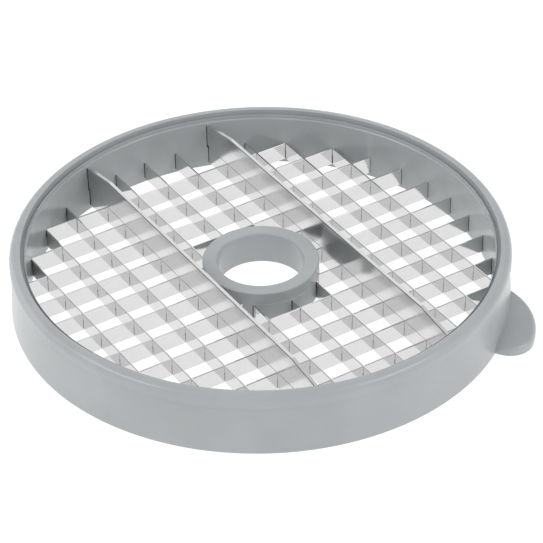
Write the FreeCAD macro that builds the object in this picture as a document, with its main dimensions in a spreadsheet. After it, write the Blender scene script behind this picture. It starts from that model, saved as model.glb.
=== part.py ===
"""Dicing grid for a restaurant food processor.

A moulded plastic ring with a finger lug and a moulded plastic hub hold two crossing families
of steel blades and two taller support bars.  Millimetres, +Z up.  The origin is on the axis of
the hub's bore, in the plane of the blades' lower edges, which is also the hub's lower face.

"long" blades run along Y and are numbered from -X to +X; "cross" blades run along X and are
numbered from +Y to -Y.  The support bars stand in long rows 4 and 8.  The three middle blades of
each family stop at the hub, so each of them is two separate pieces.
"""
import FreeCAD, Part
import math
import os
import Sketcher
from FreeCAD import Placement, Rotation, Vector

SIZES = [
    ("pitch", 13.5, "centre distance between neighbouring blades"),
    ("blade_thick", 0.6, "blade strip thickness"),
    ("blade_height", 7.3, "blade strip height"),
    ("blade_land", 0.4, "flat left on the ground cutting edge"),
    ("bevel_height", 0.18, "height of the ground cutting edge"),
    ("top_slot", 0.9, "width of the crossing slots in the cross blades, open upwards"),
    ("bottom_slot", 1.4, "width of the slots in the long blades and bars, open downwards"),
    ("slot_depth", 3.75, "crossing slot depth, a little over half the blade height"),
    ("end_play", 0.2, "side clearance of a strip's end in its pocket"),
    ("ring_embed", 2.5, "depth of a blade end inside the ring wall"),
    ("hub_embed", 2.0, "depth of a blade end inside the hub wall"),
    ("ring_drop", 2.6, "ring base below the blades"),
    ("ring_top", 21.8, "ring crest above the origin"),
    ("ring_inner", 86.0, "inner wall radius"),
    ("rebate_height", 1.2, "rebate under the inner wall"),
    ("rebate_width", 2.0, "width of that rebate"),
    ("ledge_height", 18.5, "inner ledge above the origin"),
    ("ledge_step", 0.4, "width and rise of the inner ledge"),
    ("crest_inner", 87.85, "radius of the crest's inner edge"),
    ("crest_drop", 1.3, "top of the inner wall below the crest"),
    ("groove_depth", 1.0, "depth of the groove between the inner wall and the crest"),
    ("groove_slope", 0.35, "lean of the groove's sides"),
    ("lip_radius", 91.9, "outer radius of the rounded lip"),
    ("lip_rounding", 2.9, "rounding of the lip"),
    ("lip_height", 17.2, "lower edge of the lip above the origin"),
    ("neck_radius", 91.3, "outer radius just below the lip"),
    ("neck_height", 16.0, "height of the neck above the origin"),
    ("base_radius", 92.5, "outer radius at the base"),
    ("base_edge", 0.4, "edge break of the base's outer edge"),
    ("lug_radius", 30.3, "plan radius of the lug's long edge"),
    ("lug_centre_x", 45.8, "centre of that edge, X"),
    ("lug_centre_y", 57.4, "centre of that edge, -Y"),
    ("lug_root", 89.0, "radius where the lug is rooted in the ring wall"),
    ("lug_front_angle", 56.9, "direction of the lug's short edge, degrees from +X to -Y"),
    ("lug_clear_angle", 60, "plan angle cleared in front of the short edge, degrees"),
    ("lug_corner", 9.0, "plan rounding of the lug's corner"),
    ("lug_thick", 3.6, "lug thickness"),
    ("lug_rounding", 1.8, "rounding of the lug's upper edge"),
    ("hub_radius", 21.6, "hub outer radius below the seam"),
    ("seam_step", 0.1, "step of the hub's moulding seam"),
    ("seam_height", 7.8, "moulding seam above the origin"),
    ("bore_radius", 16.0, "hub bore radius"),
    ("hub_height", 12.5, "hub height"),
    ("hub_rounding", 0.4, "rounding of the hub's outer edge"),
    ("bore_rounding", 0.8, "rounding of the bore's edge"),
    ("bar_thick", 1.5, "support bar thickness above the blades"),
    ("bar_land", 1.2, "flat left along the bar's top"),
    ("bar_bevel", 0.4, "height of the steep bevels beside that flat"),
    ("bar_shoulder", 8.35, "height where a bar's full thickness begins"),
    ("bar_middle", 20.4, "support bar height along the middle"),
    ("bar_end", 17.6, "support bar height at the ring wall"),
    ("bar_straight", 64.1, "half length of the bar's level top edge"),
]
OUTER_ROW = 5       # the outermost blade is five pitches from the axis
BAR_ROW = 2         # the support bars stand two pitches from the axis
HUB_ROWS = (-1, 0, 1)   # blades in these rows stop at the hub
ORIGIN = "0 mm"     # an expression for no offset
TINY = 0.01         # two places nearer than this are the same, mm

doc = FreeCAD.newDocument("dicing_grid")
sheet = doc.addObject("Spreadsheet::Sheet", "Sizes")
for row, (alias, value, meaning) in enumerate(SIZES, start=1):
    sheet.set(f"A{row}", alias)
    sheet.set(f"B{row}", str(value))
    sheet.set(f"C{row}", meaning)
    sheet.setAlias(f"B{row}", alias)
doc.recompute()


def size(expression):
    """Value of an expression of sheet aliases, each written as Sizes.alias."""
    value = sheet.evalExpression(expression)
    return float(getattr(value, "Value", value))


def new_body(label):
    body = doc.addObject("PartDesign::Body", label)
    body.Label = label
    return body


def new_sketch(body, role, name, offset=None):
    """A sketch on one of the body's own origin planes; offset moves it along the plane's normal."""
    sketch = body.newObject("Sketcher::SketchObject", name)
    plane = next(item for item in body.Origin.OriginFeatures if item.Role == role)
    sketch.AttachmentSupport = [(plane, "")]
    sketch.MapMode = "FlatFace"
    if offset:
        sketch.setExpression("AttachmentOffset.Base.z", offset)
    return sketch


def pin_point(sketch, index, end, point):
    """Bind one end of an edge to two expressions, measured from the sketch's origin."""
    for axis, expression in zip("XY", point):
        value = size(expression)
        if value == 0:
            line = -2 if axis == "X" else -1
            sketch.addConstraint(Sketcher.Constraint("PointOnObject", index, end, line))
            continue
        number = sketch.addConstraint(
            Sketcher.Constraint(f"Distance{axis}", -1, 1, index, end, value))
        sketch.setExpression(f"Constraints[{number}]", expression)


def close_loop(sketch, edges):
    """Join each edge's end to the next edge's start; edges are (index, start, end) tuples."""
    for (index, _, end), (following, start, _) in zip(edges, edges[1:] + edges[:1]):
        sketch.addConstraint(Sketcher.Constraint("Coincident", index, end, following, start))


def draw_outline(sketch, points):
    """Closed polygon; every point is a pair of expressions."""
    places = [Vector(size(a), size(b), 0) for a, b in points]
    edges = []
    for start, end in zip(places, places[1:] + places[:1]):
        edges.append((sketch.addGeometry(Part.LineSegment(start, end)), 1, 2))
    close_loop(sketch, edges)
    for (index, start, _), point in zip(edges, points):
        pin_point(sketch, index, start, point)


def add_pad(body, sketch, name, length, centred=False):
    pad = body.newObject("PartDesign::Pad", name)
    pad.Profile = sketch
    pad.setExpression("Length", length)
    pad.Midplane = centred
    return pad


def add_slots(body, label, first, count, at_top):
    """Crossing slots, one pitch apart; first is the place of the first one, in pitches."""
    width = "Sizes.top_slot" if at_top else "Sizes.bottom_slot"
    left, right = both_faces(f"Sizes.pitch * {first}", width)
    if at_top:
        low, high = "Sizes.blade_height - Sizes.slot_depth", f"Sizes.blade_height + {width}"
    else:
        low, high = f"-1 * {width}", "Sizes.slot_depth"
    sketch = new_sketch(body, "XZ_Plane", label + "_slot_outline")
    draw_outline(sketch, [(left, low), (right, low), (right, high), (left, high)])
    slot = body.newObject("PartDesign::Pocket", label + "_slot")
    slot.Profile = sketch
    slot.Type = "ThroughAll"
    slot.Midplane = True
    row = body.newObject("PartDesign::LinearPattern", label + "_slots")
    row.Originals = [slot]
    row.Direction = (sketch, ["H_Axis"])
    row.Occurrences = count
    row.setExpression("Length", f"Sizes.pitch * {count - 1}")
    body.Tip = row


def add_fillet(body, name, base, edges, radius):
    fillet = body.newObject("PartDesign::Fillet", name)
    fillet.Base = (base, edges)
    fillet.setExpression("Radius", radius)
    return fillet


def edge_names(feature, wanted):
    """Names of the edges of a feature's shape for which wanted(edge) is true."""
    names = [f"Edge{n}" for n, edge in enumerate(feature.Shape.Edges, start=1) if wanted(edge)]
    if not names:
        raise RuntimeError(f"{feature.Name}: no edge found to round")
    return names


def is_circle(edge, radius, height):
    """True for an edge that lies on the circle of this radius and height about Z."""
    def near(point):
        return abs(point.z - height) < TINY and abs(math.hypot(point.x, point.y) - radius) < TINY
    return all(near(point) for point in edge.discretize(5))


def both_faces(middle, thickness):
    """Places of a strip's or slot's two faces about its middle."""
    return f"{middle} - ({thickness}) / 2", f"{middle} + ({thickness}) / 2"


def reach(limit, offset):
    """Half length of a strip that ends on a circle: limit is its radius, offset the strip's row."""
    return f"sqrt(({limit}) ^ 2 - ({offset}) ^ 2)"


# ---------------------------------------------------------------- blades

def make_blade(label, start, length, first_slot, slot_count, slots_at_top):
    """A ground steel strip along X; slot places are counted in pitches from the axis."""
    body = new_body(label)
    section = new_sketch(body, "YZ_Plane", label + "_section", start)
    side, land = "Sizes.blade_thick / 2", "Sizes.blade_land / 2"
    shoulder = "Sizes.blade_height - Sizes.bevel_height"
    draw_outline(section, [(f"-{side}", ORIGIN), (side, ORIGIN),
                           (side, shoulder), (land, "Sizes.blade_height"),
                           (f"-{land}", "Sizes.blade_height"), (f"-{side}", shoulder)])
    add_pad(body, section, label + "_strip", length)
    add_slots(body, label, first_slot, slot_count, slots_at_top)
    return body


def place_long(body, offset):
    """Turn a strip along Y and move it to its X."""
    body.Placement = Placement(Vector(0, 0, 0), Rotation(Vector(0, 0, 1), 90))
    body.setExpression("Placement.Base.x", offset)


def place_cross(body, offset):
    body.setExpression("Placement.Base.y", offset)


def make_family(prefix, place, ends, slots_at_top, sign, empty_rows=()):
    """Rows of blades, numbered 1 to 11; the hub rows have two halves, empty rows have none."""
    family = []
    for row in sorted(set(range(-OUTER_ROW, OUTER_ROW + 1)) - set(empty_rows)):
        number = row + OUTER_ROW + 1
        offset = f"Sizes.pitch * {sign * row}"
        wall_end = reach("Sizes.ring_inner + Sizes.ring_embed", f"Sizes.pitch * {row}")
        if row in HUB_ROWS:
            hub_end = reach("Sizes.hub_radius - Sizes.hub_embed", f"Sizes.pitch * {row}")
            length = f"{wall_end} - {hub_end}"
            slots = OUTER_ROW - BAR_ROW + 1
            low = make_blade(f"{prefix}_blade_{number:02d}_{ends[0]}", f"-{wall_end}", length,
                             -OUTER_ROW, slots, slots_at_top)
            high = make_blade(f"{prefix}_blade_{number:02d}_{ends[1]}", hub_end, length,
                              BAR_ROW, slots, slots_at_top)
            halves = [low, high]
        else:
            reach_rows = OUTER_ROW - 1 if abs(row) == OUTER_ROW else OUTER_ROW
            halves = [make_blade(f"{prefix}_blade_{number:02d}", f"-{wall_end}", f"2 * {wall_end}",
                                 -reach_rows, 2 * reach_rows + 1, slots_at_top)]
        for body in halves:
            place(body, offset)
        family += halves
    return family


# ---------------------------------------------------------------- support bars

def make_bar(label, side):
    """A thick plate in a long blade's row; below its shoulder it has a long blade's section."""
    body = new_body(label)
    offset = f"Sizes.pitch * {side * BAR_ROW}"
    end = reach("Sizes.ring_inner + Sizes.ring_embed", offset)
    wall = reach("Sizes.ring_inner", f"Sizes.pitch * {BAR_ROW} + Sizes.bar_thick / 2")
    face = new_sketch(body, "XZ_Plane", label + "_face")
    draw_outline(face, [(f"-{end}", ORIGIN), (end, ORIGIN),
                        (end, "Sizes.bar_end"), (wall, "Sizes.bar_end"),
                        ("Sizes.bar_straight", "Sizes.bar_middle"),
                        ("-Sizes.bar_straight", "Sizes.bar_middle"),
                        (f"-{wall}", "Sizes.bar_end"), (f"-{end}", "Sizes.bar_end")])
    plate = add_pad(body, face, label + "_plate", "Sizes.bar_thick", centred=True)
    doc.recompute()
    lowest, thick = size("Sizes.bar_end") - TINY, size("Sizes.bar_thick")
    crown = edge_names(plate, lambda edge: edge.BoundBox.ZMin > lowest and edge.Length > 2 * thick)
    bevel = body.newObject("PartDesign::Chamfer", label + "_bevel")
    bevel.Base = (plate, crown)
    bevel.ChamferType = "Two distances"
    bevel.setExpression("Size", "(Sizes.bar_thick - Sizes.bar_land) / 2")
    bevel.setExpression("Size2", "Sizes.bar_bevel")
    section = new_sketch(body, "YZ_Plane", label + "_foot_section")
    foot, neck, out = "Sizes.blade_thick / 2", "Sizes.blade_land / 2", "Sizes.bar_thick"
    for sign in ("", "-"):
        draw_outline(section, [(sign + foot, ORIGIN), (sign + out, ORIGIN),
                               (sign + out, "Sizes.bar_shoulder"),
                               (sign + neck, "Sizes.bar_shoulder"),
                               (sign + neck, "Sizes.blade_height"),
                               (sign + foot, "Sizes.blade_height - Sizes.bevel_height")])
    sides = body.newObject("PartDesign::Pocket", label + "_foot")
    sides.Profile = section
    sides.Type = "ThroughAll"
    sides.Midplane = True
    add_slots(body, label, -OUTER_ROW, 2 * OUTER_ROW + 1, False)
    place_long(body, offset)
    return body


# ---------------------------------------------------------------- mouldings

def revolve_outline(body, name, points):
    """Turn a closed outline of (radius, height) points about the axis."""
    sketch = new_sketch(body, "XZ_Plane", name + "_outline")
    draw_outline(sketch, points)
    turned = body.newObject("PartDesign::Revolution", name)
    turned.Profile = sketch
    turned.ReferenceAxis = (sketch, ["V_Axis"])
    turned.Angle = 360
    return turned


def cut_up(body, name, height, draw, start=None):
    """Pocket of the given height, upward from the plane at start; draw fills its sketch."""
    sketch = new_sketch(body, "XY_Plane", name + "_plan", start)
    draw(sketch)
    pocket = body.newObject("PartDesign::Pocket", name)
    pocket.Profile = sketch
    pocket.setExpression("Length", height)
    pocket.Reversed = True
    return pocket


def cut_strips(body, name, height, strips, start=None):
    """Straight cuts upward from the plane at start; each is (left, right, front, back) in plan."""
    def draw(sketch):
        for left, right, front, back in strips:
            draw_outline(sketch, [(left, front), (right, front), (right, back), (left, back)])
    return cut_up(body, name, height, draw, start)


def draw_circle(sketch, radius, centre=None):
    place = Vector(size(centre[0]), size(centre[1]), 0) if centre else Vector(0, 0, 0)
    index = sketch.addGeometry(Part.Circle(place, Vector(0, 0, 1), size(radius)))
    number = sketch.addConstraint(Sketcher.Constraint("Radius", index, size(radius)))
    sketch.setExpression(f"Constraints[{number}]", radius)
    if centre:
        pin_point(sketch, index, 3, centre)
    else:
        sketch.addConstraint(Sketcher.Constraint("Coincident", index, 3, -1, 1))


def polar(radius, angle):
    """Plan point at a radius and at an angle from +X towards -Y."""
    return f"{radius} * cos({angle})", f"-{radius} * sin({angle})"


def add_lug(body):
    """Finger lug: a flat fin with a short radial edge in front and one long arc behind it."""
    base = "-1 * Sizes.ring_drop"
    disc = new_sketch(body, "XY_Plane", "lug_disc_plan", base)
    draw_circle(disc, "Sizes.lug_radius", ("Sizes.lug_centre_x", "-Sizes.lug_centre_y"))
    add_pad(body, disc, "lug_disc", "Sizes.lug_thick")
    cut_up(body, "lug_root", "Sizes.lug_thick", lambda plan: draw_circle(plan, "Sizes.lug_root"), base)
    angle, far = "Sizes.lug_front_angle * 1 deg", "2 * Sizes.base_radius"
    beyond = [(ORIGIN, ORIGIN), polar(far, angle),
              polar(far, f"({angle} + Sizes.lug_clear_angle * 1 deg)")]
    front = cut_up(body, "lug_front", "Sizes.lug_thick",
                   lambda plan: draw_outline(plan, beyond), base)
    doc.recompute()
    outside, thick = size("Sizes.base_radius"), size("Sizes.lug_thick")
    corner = edge_names(front, lambda edge: edge.BoundBox.ZLength > thick - TINY
                        and math.hypot(edge.Vertexes[0].X, edge.Vertexes[0].Y) > outside)
    rounded = add_fillet(body, "lug_corner", front, corner, "Sizes.lug_corner")
    doc.recompute()
    top, root = size("Sizes.lug_thick - Sizes.ring_drop"), size("Sizes.lug_root")
    rim = edge_names(rounded, lambda edge: edge.BoundBox.ZMin > top - TINY
                     and not is_circle(edge, root, top))
    return add_fillet(body, "lug_edges", rounded, rim, "Sizes.lug_rounding")


def make_ring():
    """Ring with a rounded lip, an inner ledge, the finger lug and pockets for the blade ends."""
    body = new_body("ring_frame")
    add_lug(body)
    base, top = "-1 * Sizes.ring_drop", "Sizes.ring_top"
    upper_wall = "Sizes.ring_inner + Sizes.ledge_step"
    wall_top = "Sizes.ring_top - Sizes.crest_drop"
    groove = f"{wall_top} - Sizes.groove_depth"
    rebate = "Sizes.ring_inner + Sizes.rebate_width"
    wall = revolve_outline(body, "ring_wall", [
        ("Sizes.ring_inner", "Sizes.rebate_height - Sizes.ring_drop"),
        (rebate, "Sizes.rebate_height - Sizes.ring_drop"), (rebate, base),
        ("Sizes.base_radius - Sizes.base_edge", base),
        ("Sizes.base_radius", "Sizes.base_edge - Sizes.ring_drop"),
        ("Sizes.neck_radius", "Sizes.neck_height"), ("Sizes.lip_radius", "Sizes.lip_height"),
        ("Sizes.lip_radius", top), ("Sizes.crest_inner", top),
        ("Sizes.crest_inner - Sizes.groove_slope", groove),
        (f"{upper_wall} + Sizes.groove_slope", groove), (upper_wall, wall_top),
        (upper_wall, "Sizes.ledge_height + Sizes.ledge_step"),
        ("Sizes.ring_inner", "Sizes.ledge_height")])
    doc.recompute()
    radius, height = size("Sizes.lip_radius"), size(top)
    lip_edge = edge_names(wall, lambda edge: is_circle(edge, radius, height))
    add_fillet(body, "lip_rounded", wall, lip_edge, "Sizes.lip_rounding")
    long_ends, cross_ends, bar_ends = [], [], []
    for row in range(-OUTER_ROW, OUTER_ROW + 1):
        middle = f"Sizes.pitch * {row}"
        low, high = both_faces(middle, "Sizes.blade_thick + 2 * Sizes.end_play")
        end = reach("Sizes.ring_inner + Sizes.ring_embed", middle)
        cross_ends.append((f"-{end}", end, low, high))
        long_ends.append((low, high, f"-{end}", end))
        if abs(row) == BAR_ROW:
            low, high = both_faces(middle, "Sizes.bar_thick + 2 * Sizes.end_play")
            bar_ends.append((low, high, f"-{end}", end))
    cut_strips(body, "long_blade_ends", "Sizes.blade_height", long_ends)
    cut_strips(body, "cross_blade_ends", "Sizes.blade_height", cross_ends)
    body.Tip = cut_strips(body, "bar_ends", "Sizes.bar_end - Sizes.blade_height", bar_ends,
                          "Sizes.blade_height")
    return body


def make_hub():
    """Plain bored hub, stepped at the moulding seam, with pockets for twelve blade ends."""
    body = new_body("hub_ring")
    upper, top = "Sizes.hub_radius - Sizes.seam_step", "Sizes.hub_height"
    turned = revolve_outline(body, "hub_wall", [
        ("Sizes.bore_radius", ORIGIN), ("Sizes.hub_radius", ORIGIN),
        ("Sizes.hub_radius", "Sizes.seam_height - Sizes.seam_step"), (upper, "Sizes.seam_height"),
        (upper, top), ("Sizes.bore_radius", top)])
    doc.recompute()
    outer, inner, height = size(upper), size("Sizes.bore_radius"), size(top)
    rim = edge_names(turned, lambda edge: is_circle(edge, outer, height))
    rounded = add_fillet(body, "hub_rim", turned, rim, "Sizes.hub_rounding")
    doc.recompute()
    mouth = edge_names(rounded, lambda edge: is_circle(edge, inner, height))
    add_fillet(body, "bore_mouth", rounded, mouth, "Sizes.bore_rounding")
    long_ends, cross_ends = [], []
    for row in HUB_ROWS:
        middle = f"Sizes.pitch * {row}"
        low, high = both_faces(middle, "Sizes.blade_thick + 2 * Sizes.end_play")
        near = reach("Sizes.hub_radius - Sizes.hub_embed", middle)
        far = "Sizes.hub_radius + Sizes.pitch"
        for start, stop in ((near, far), (f"-1 * ({far})", f"-{near}")):
            long_ends.append((low, high, start, stop))
            cross_ends.append((start, stop, low, high))
    cut_strips(body, "long_blade_ends", "Sizes.blade_height", long_ends)
    body.Tip = cut_strips(body, "cross_blade_ends", "Sizes.blade_height", cross_ends)
    return body


# ---------------------------------------------------------------- assembly and output

nodes = [make_ring(), make_hub(), make_bar("support_bar_left", -1), make_bar("support_bar_right", 1)]
nodes += make_family("long", place_long, ("front", "rear"), False, 1, (-BAR_ROW, BAR_ROW))
nodes += make_family("cross", place_cross, ("left", "right"), True, -1)
doc.recompute()

failed = [item.Label for item in doc.Objects if {"Invalid", "Error"} & set(item.State)]
failed += [node.Label for node in nodes
           if node.Shape.isNull() or not node.Shape.isValid() or len(node.Shape.Solids) != 1]
if failed:
    raise RuntimeError("these objects failed: " + ", ".join(failed))

os.makedirs("parts", exist_ok=True)
for node in nodes:
    node.Shape.exportStep(f"parts/{node.Label}.step")
    box = node.Shape.BoundBox
    print(f"{node.Label}: volume {node.Shape.Volume:.0f} mm3, X {box.XMin:.1f} to {box.XMax:.1f}, "
          f"Y {box.YMin:.1f} to {box.YMax:.1f}, Z {box.ZMin:.1f} to {box.ZMax:.1f}")
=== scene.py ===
"""Looks of the dicing grid: materials, floor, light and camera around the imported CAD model.

Metres, in the CAD model's frame: +Z up, origin on the hub's axis at the blades' lower edges.
"""
import math

import bpy
from mathutils import Matrix, Vector


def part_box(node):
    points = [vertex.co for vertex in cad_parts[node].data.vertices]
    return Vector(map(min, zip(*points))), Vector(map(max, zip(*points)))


# Camera: place, direction of view and lens.
CAMERA_PLACE = (-0.3721, -0.6082, 0.5307)
LOOK_AZIMUTH = 58.23        # degrees from +X towards +Y
LOOK_DOWN = 36.31           # degrees below the horizon
CAMERA_ROLL = 0.99          # degrees
FOCAL_LENGTH = 158.7        # millimetres
SENSOR_WIDTH = 36.0         # millimetres

# Softboxes: name, azimuth from +X towards +Y and elevation in degrees, radiance, and size.  A lamp
# does not hide what is behind it, so each one adds its radiance to the surround's.
SOFTBOXES = [
    ("softbox_right_low", -45.0, 18.0, 0.6, (1.1, 0.75)),
    ("softbox_right_high", -58.0, 42.0, 4.0, (0.7, 0.45)),
    ("softbox_left", 125.0, 18.0, 1.2, (1.1, 0.75)),
    ("softbox_left_high", 168.0, 42.0, 4.2, (0.9, 0.4)),
    ("softbox_back", 58.0, 36.0, 0.27, (1.1, 0.75)),
]
SOFTBOX_DISTANCE = 1.5
SURROUND = 0.75             # radiance of the pale surround
FLOOR_GLOW = 1.0            # radiance the lit floor gives off by itself
FLOOR_HALF = 4.0            # half the floor's side

# Colours, linear RGB, and roughness.
RING_GREY = (0.366, 0.385, 0.394)
PLASTIC_ROUGHNESS = (0.20, 0.27)
PLASTIC_IOR = 1.47
STEEL = (0.70, 0.70, 0.70)
BLADE_ROUGHNESS = 0.1
BAR_ROUGHNESS = 0.16

# Wear: how far from an edge it reaches, its strength there and how much paler it is.
PLASTIC_WEAR = (0.0006, 0.35, 1.35)
STEEL_WEAR = (0.0002, 0.5, 1.25)

NOISE_LOW, NOISE_HIGH = 0.3, 0.7    # a noise texture's values lie mostly between these
FLAT_COSINE = 0.99          # an edge begins to count where the rounded normal turns this far
SHARP_COSINE = 0.80         # and counts in full here


class Nodes:
    """Short names for building one material's node tree."""

    def __init__(self, name):
        self.material = bpy.data.materials.new(name)
        self.material.use_nodes = True
        self.tree = self.material.node_tree
        self.shader = self.tree.nodes["Principled BSDF"]

    def add(self, kind, inputs=None, **settings):
        """A node with the given settings; inputs are values or other nodes' outputs."""
        node = self.tree.nodes.new(kind)
        for name, value in settings.items():
            setattr(node, name, value)
        for name, value in (inputs or {}).items():
            self.set(node, name, value)
        return node

    def set(self, node, name, value):
        """Give a socket a value, or link another node's output to it."""
        if isinstance(value, bpy.types.NodeSocket):
            self.tree.links.new(value, node.inputs[name])
        else:
            node.inputs[name].default_value = value

    def place(self, stretch):
        """Coordinates in metres, multiplied by stretch on each axis."""
        where = self.add("ShaderNodeTexCoord")
        mapping = self.add("ShaderNodeMapping", {"Vector": where.outputs["Object"], "Scale": stretch})
        return mapping.outputs[0]

    def noise(self, stretch, detail=3.0, roughness=0.5):
        """Noise with stretch features per metre on each axis."""
        node = self.add("ShaderNodeTexNoise", {"Vector": self.place(stretch), "Scale": 1.0,
                                               "Detail": detail, "Roughness": roughness})
        return node.outputs["Fac"]

    def remap(self, value, low, high, to_low, to_high):
        node = self.add("ShaderNodeMapRange", {"Value": value, "From Min": low, "From Max": high,
                                               "To Min": to_low, "To Max": to_high})
        return node.outputs["Result"]

    def spread(self, noise, low, high):
        """Stretch a noise texture's usual range over low to high."""
        return self.remap(noise, NOISE_LOW, NOISE_HIGH, low, high)

    def blend(self, factor, first, second):
        """Mix of two colours; factor 0 gives the first."""
        node = self.add("ShaderNodeMix", data_type="RGBA")
        self.set(node, 0, factor)
        self.set(node, 6, first)
        self.set(node, 7, second)
        return node.outputs[2]

    def math(self, operation, first, second):
        node = self.add("ShaderNodeMath", operation=operation)
        self.set(node, 0, first)
        self.set(node, 1, second)
        return node.outputs[0]

    def edges(self, radius):
        """0 on flat faces, rising to 1 on edges and corners, within the given radius."""
        bevel = self.add("ShaderNodeBevel", {"Radius": radius}, samples=4)
        here = self.add("ShaderNodeNewGeometry")
        dot = self.add("ShaderNodeVectorMath", operation="DOT_PRODUCT")
        self.set(dot, 0, bevel.outputs[0])
        self.set(dot, 1, here.outputs["Normal"])
        return self.remap(dot.outputs["Value"], FLAT_COSINE, SHARP_COSINE, 0.0, 1.0)

    def wear(self, base, colour, amounts):
        """The base colour with paler edges; amounts are the reach, strength and paleness."""
        radius, strength, paleness = amounts
        worn = self.math("MULTIPLY", self.edges(radius), strength)
        return self.blend(worn, base, tint(colour, paleness))

    def bump(self, height, distance, strength=1.0, normal=None):
        inputs = {"Height": height, "Distance": distance, "Strength": strength}
        node = self.add("ShaderNodeBump", inputs)
        if normal:
            self.set(node, "Normal", normal)
        return node.outputs[0]


def tint(colour, factor):
    """An opaque colour, lighter or darker by the factor."""
    return tuple(channel * factor for channel in colour) + (1.0,)


def make_plastic(name, colour):
    """Moulded polymer: faint mottling, fine surface grain, paler rubbed edges."""
    n = Nodes(name)
    mottle = n.noise((45.0, 45.0, 45.0), detail=4.0)
    clouds = n.spread(mottle, 0.0, 1.0)
    base = n.blend(clouds, tint(colour, 0.95), tint(colour, 1.05))
    n.set(n.shader, "Base Color", n.wear(base, colour, PLASTIC_WEAR))
    n.set(n.shader, "Roughness", n.spread(mottle, *PLASTIC_ROUGHNESS))
    grain = n.noise((2600.0, 2600.0, 2600.0), detail=2.0)
    swell = n.noise((120.0, 120.0, 120.0), detail=2.0)
    fine = n.bump(grain, 0.00002, 0.5)
    n.set(n.shader, "Normal", n.bump(swell, 0.0002, 0.3, fine))
    n.shader.inputs["IOR"].default_value = PLASTIC_IOR
    return n.material


def make_steel(name, colour, roughness):
    """Ground stainless strip: fine lines along its length and brighter, polished edges."""
    n = Nodes(name)
    lines = n.noise((60.0, 60.0, 9000.0), detail=3.0, roughness=0.6)
    mottle = n.noise((220.0, 220.0, 220.0), detail=3.0)
    clouds = n.spread(mottle, 0.0, 1.0)
    base = n.blend(clouds, tint(colour, 0.985), tint(colour, 1.015))
    n.set(n.shader, "Base Color", n.wear(base, colour, STEEL_WEAR))
    n.set(n.shader, "Roughness", n.spread(lines, roughness * 0.8, roughness * 1.25))
    n.set(n.shader, "Normal", n.bump(lines, 0.00001, 0.35))
    n.shader.inputs["Metallic"].default_value = 1.0
    return n.material


def give(names, material):
    """Assign a material to the whole of each named CAD node."""
    for name in names:
        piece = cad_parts[name]
        if not piece.material_slots:
            piece.data.materials.append(None)
        for slot in piece.material_slots:
            slot.link = "OBJECT"
            slot.material = material


def make_floor(height):
    """Wide pale floor under the object, bright enough to stay white between the blades."""
    half = FLOOR_HALF
    plan = [(-half, -half), (half, -half), (half, half), (-half, half)]
    mesh = bpy.data.meshes.new("floor")
    mesh.from_pydata([(x, y, height) for x, y in plan], [], [(0, 1, 2, 3)])
    floor = bpy.data.objects.new("floor", mesh)
    bpy.context.scene.collection.objects.link(floor)
    n = Nodes("floor_white")
    n.shader.inputs["Base Color"].default_value = (0.1, 0.1, 0.1, 1.0)
    n.shader.inputs["Roughness"].default_value = 0.8
    n.shader.inputs["Emission Color"].default_value = (1.0, 1.0, 1.0, 1.0)
    n.shader.inputs["Emission Strength"].default_value = FLOOR_GLOW
    mesh.materials.append(n.material)


def direction(azimuth, elevation):
    """Unit vector for an azimuth and an elevation in degrees."""
    turn, rise = math.radians(azimuth), math.radians(elevation)
    return Vector((math.cos(rise) * math.cos(turn), math.cos(rise) * math.sin(turn), math.sin(rise)))


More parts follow.
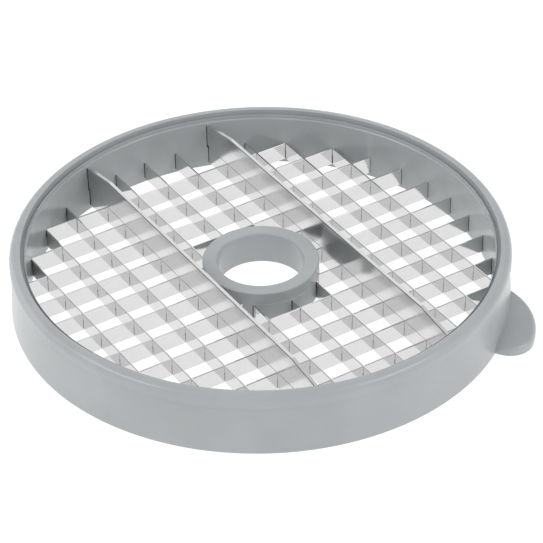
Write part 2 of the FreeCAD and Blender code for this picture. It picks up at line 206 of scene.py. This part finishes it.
def make_softbox(name, azimuth, elevation, radiance, size):
    """A soft rectangular light in the given direction from the object, turned towards it."""
    light = bpy.data.lights.new(name, "AREA")
    light.shape = "RECTANGLE"
    light.size, light.size_y = size
    light.energy = radiance * math.pi * light.size * light.size_y
    outward = direction(azimuth, elevation)
    lamp = bpy.data.objects.new(name, light)
    lamp.location = outward * SOFTBOX_DISTANCE
    lamp.rotation_mode = "QUATERNION"
    lamp.rotation_quaternion = (-outward).to_track_quat("-Z", "Y")
    bpy.context.scene.collection.objects.link(lamp)


def make_light():
    """Softboxes round the object in a pale surround."""
    for softbox in SOFTBOXES:
        make_softbox(*softbox)
    world = bpy.data.worlds.new("surround")
    bpy.context.scene.world = world
    world.use_nodes = True
    background = world.node_tree.nodes["Background"]
    background.inputs["Color"].default_value = (1.0, 1.0, 1.0, 1.0)
    background.inputs["Strength"].default_value = SURROUND


def make_camera():
    """The camera, turned by its roll about the direction of view."""
    roll = math.radians(CAMERA_ROLL)
    forward = direction(LOOK_AZIMUTH, -LOOK_DOWN)
    level = forward.cross(Vector((0.0, 0.0, 1.0))).normalized()
    upright = level.cross(forward)
    right = level * math.cos(roll) - upright * math.sin(roll)
    up = right.cross(forward)
    turn = Matrix((right, up, -forward)).transposed().to_4x4()
    data = bpy.data.cameras.new("camera")
    data.lens = FOCAL_LENGTH
    data.sensor_width = SENSOR_WIDTH
    camera = bpy.data.objects.new("camera", data)
    camera.matrix_world = Matrix.Translation(CAMERA_PLACE) @ turn
    bpy.context.scene.collection.objects.link(camera)
    bpy.context.scene.camera = camera


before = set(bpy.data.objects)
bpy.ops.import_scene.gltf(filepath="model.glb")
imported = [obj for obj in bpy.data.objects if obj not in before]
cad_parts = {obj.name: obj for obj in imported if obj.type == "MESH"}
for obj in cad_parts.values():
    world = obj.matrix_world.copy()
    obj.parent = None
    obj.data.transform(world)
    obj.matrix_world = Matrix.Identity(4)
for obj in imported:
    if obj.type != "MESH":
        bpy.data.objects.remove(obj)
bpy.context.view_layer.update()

blades = [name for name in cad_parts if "_blade_" in name]
give(["ring_frame"], make_plastic("ring_plastic", RING_GREY))
give(["hub_ring"], make_plastic("hub_plastic", RING_GREY))
give(["support_bar_left", "support_bar_right"], make_steel("bar_steel", STEEL, BAR_ROUGHNESS))
give(blades, make_steel("blade_steel", STEEL, BLADE_ROUGHNESS))
make_floor(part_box("ring_frame")[0].z)
make_light()
make_camera()
bpy.context.scene.view_settings.view_transform = "Standard"
